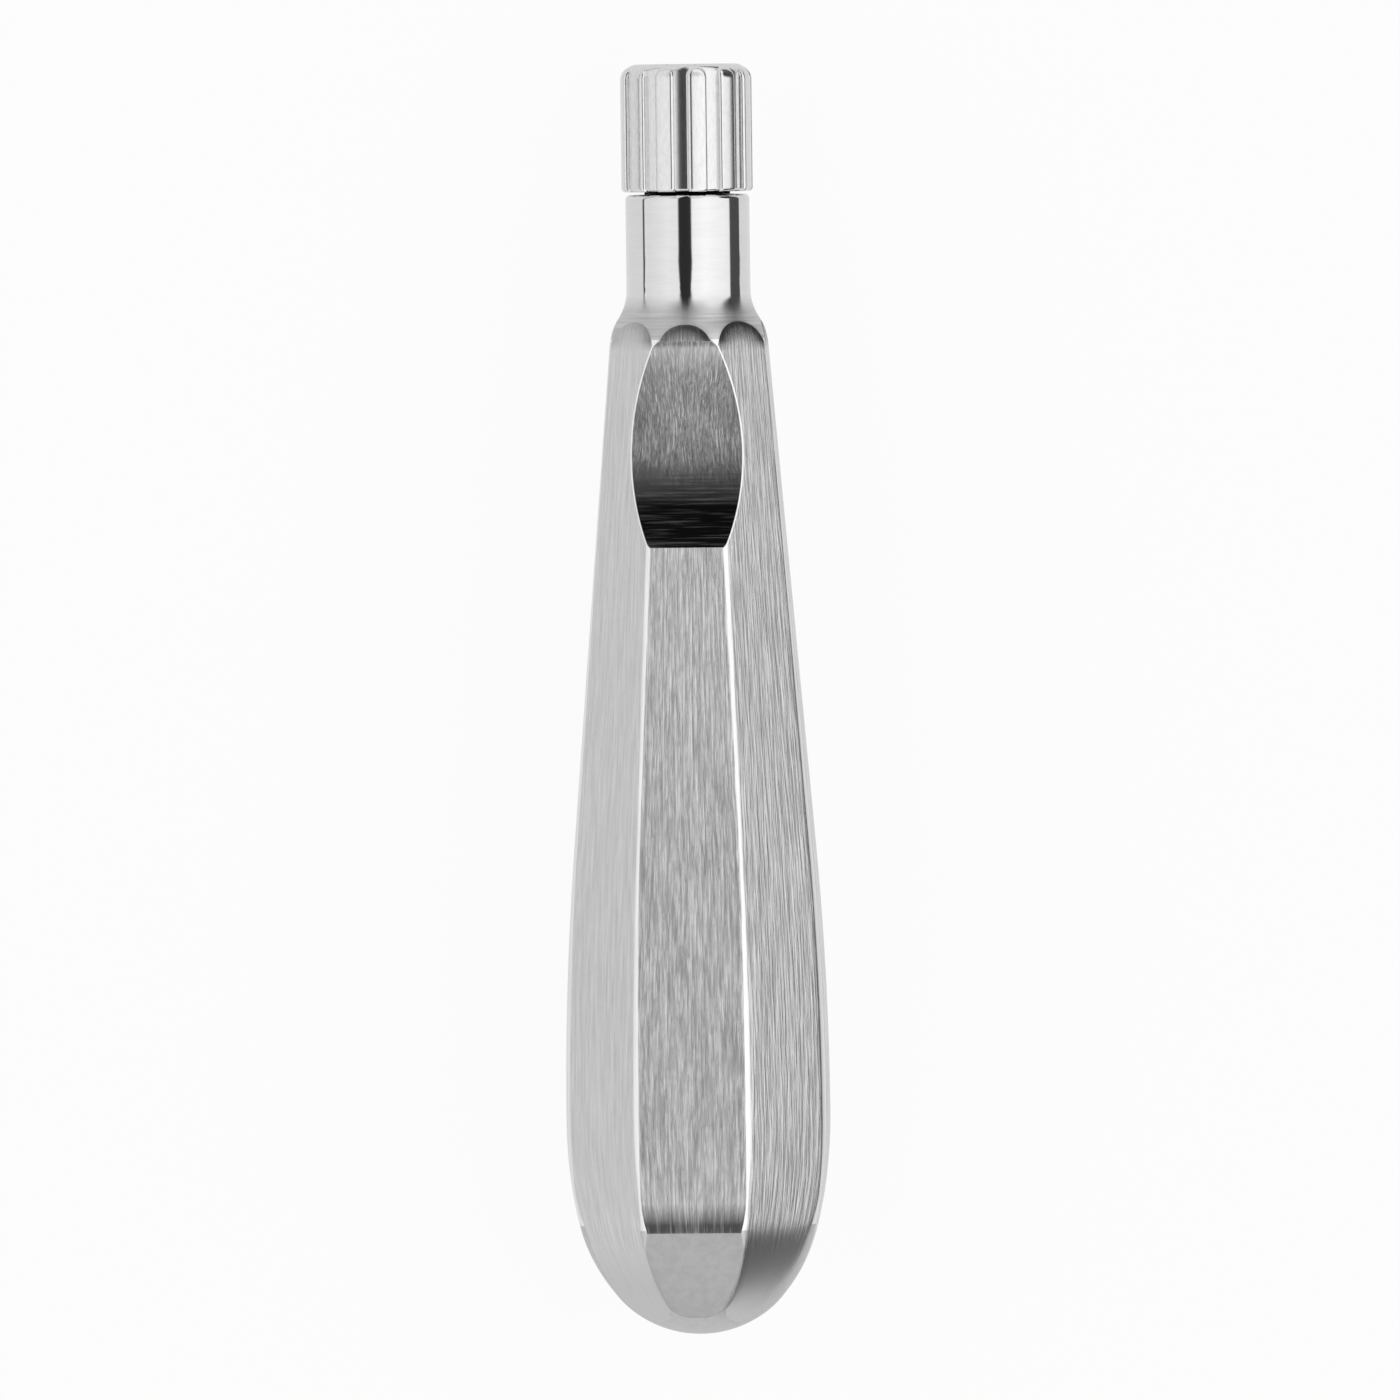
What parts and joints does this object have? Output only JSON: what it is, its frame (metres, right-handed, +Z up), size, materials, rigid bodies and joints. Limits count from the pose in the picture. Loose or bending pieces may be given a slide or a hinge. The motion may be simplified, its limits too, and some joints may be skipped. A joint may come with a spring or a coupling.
{
  "type": "osteotome handle",
  "caption": "Steel osteotome handle: an octagonal pear grip with a thumb scoop, and a fluted nut that turns to open or close a spring collet on a blade's round shank.",
  "frame": {"origin": "middle of the handle's length and width, on the surface that its back facet lies on", "axes": "+Y along the handle from the butt to the nut, +Z up through the facet that has the thumb scoop"},
  "size_m": [0.0238, 0.116, 0.0233],
  "materials": {
    "grip_steel": "brushed along the facets, polished at the neck",
    "collet_steel": "fine turned",
    "nut_steel": "polished"
  },
  "bodies": {
    "handle": {"handle_body": "grip_steel"},
    "collet": {"collet": "collet_steel"},
    "nut": {"clamp_nut": "nut_steel"}
  },
  "joints": [
    {"name": "collet_slide", "type": "slide", "parent": "handle", "child": "collet", "axis": [0, 1, 0], "range_m": [0, 0.00601]},
    {"name": "nut_turn", "type": "hinge", "parent": "collet", "child": "nut", "pos_m": [0, 0.05215, 0.01166], "axis": [0, 1, 0], "range_deg": [0, 2880]}
  ],
  "couplings": [
    {"joint": "collet_slide", "follows": "nut_turn", "m_per_rad": 0.00011937}
  ]
}
